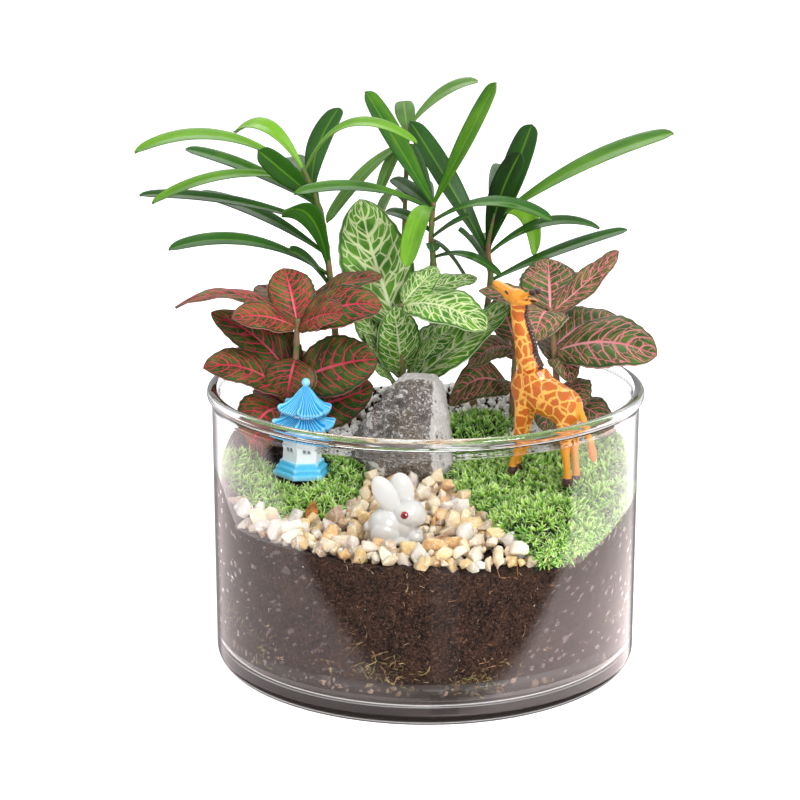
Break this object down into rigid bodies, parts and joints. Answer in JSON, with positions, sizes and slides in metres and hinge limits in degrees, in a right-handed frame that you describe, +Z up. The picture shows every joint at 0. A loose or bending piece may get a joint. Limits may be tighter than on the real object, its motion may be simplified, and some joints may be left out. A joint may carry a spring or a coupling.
{
  "type": "planted glass terrarium",
  "caption": "Open cylindrical glass bowl planted with strap-leaved and nerve-veined foliage over moss, a quartz gravel path, a boulder and small garden figures",
  "frame": {"origin": "centre of the bowl's flat underside, on the surface it stands on", "axes": "+Z up; +X to the right of a person who looks at the gravel path; +Y away from that person"},
  "size_m": [0.2273, 0.2082, 0.2335],
  "materials": {
    "glass": "clear, polished",
    "stones": "rough, damp",
    "soil": "crumbly, matt",
    "boulder": "rough, mottled grey",
    "gravel": "waxy quartz, cream to yellow",
    "moss": "tufted, matt",
    "pagoda_paint": "painted, satin",
    "rabbit_glaze": "gloss glaze",
    "giraffe_plastic": "painted, satin",
    "dry_leaf": "dry, matt",
    "strap_leaf": "waxy leaf, satin",
    "pale_strap_leaf": "waxy leaf, satin",
    "red_nerve_leaf": "puckered leaf with rose-red veins",
    "white_nerve_leaf": "puckered leaf with cream veins",
    "pink_nerve_leaf": "puckered leaf with pink veins"
  },
  "bodies": {
    "root": {"glass_bowl": "glass", "drainage_stones": "stones", "soil": "soil", "boulder": "boulder", "gravel_path": "gravel", "moss_left": "moss", "moss_right_front": "moss", "moss_right_back": "moss", "moss_back": "moss", "pagoda": "pagoda_paint", "rabbit": "rabbit_glaze", "giraffe": "giraffe_plastic", "dry_leaf": "dry_leaf", "strap_plant_left": "strap_leaf", "strap_plant_middle": "strap_leaf", "strap_plant_right": "strap_leaf", "strap_plant_back": "pale_strap_leaf", "red_nerve_plant": "red_nerve_leaf", "white_nerve_plant": "white_nerve_leaf", "pink_nerve_plant": "pink_nerve_leaf", "small_pink_nerve_plant": "pink_nerve_leaf"}
  },
  "joints": []
}
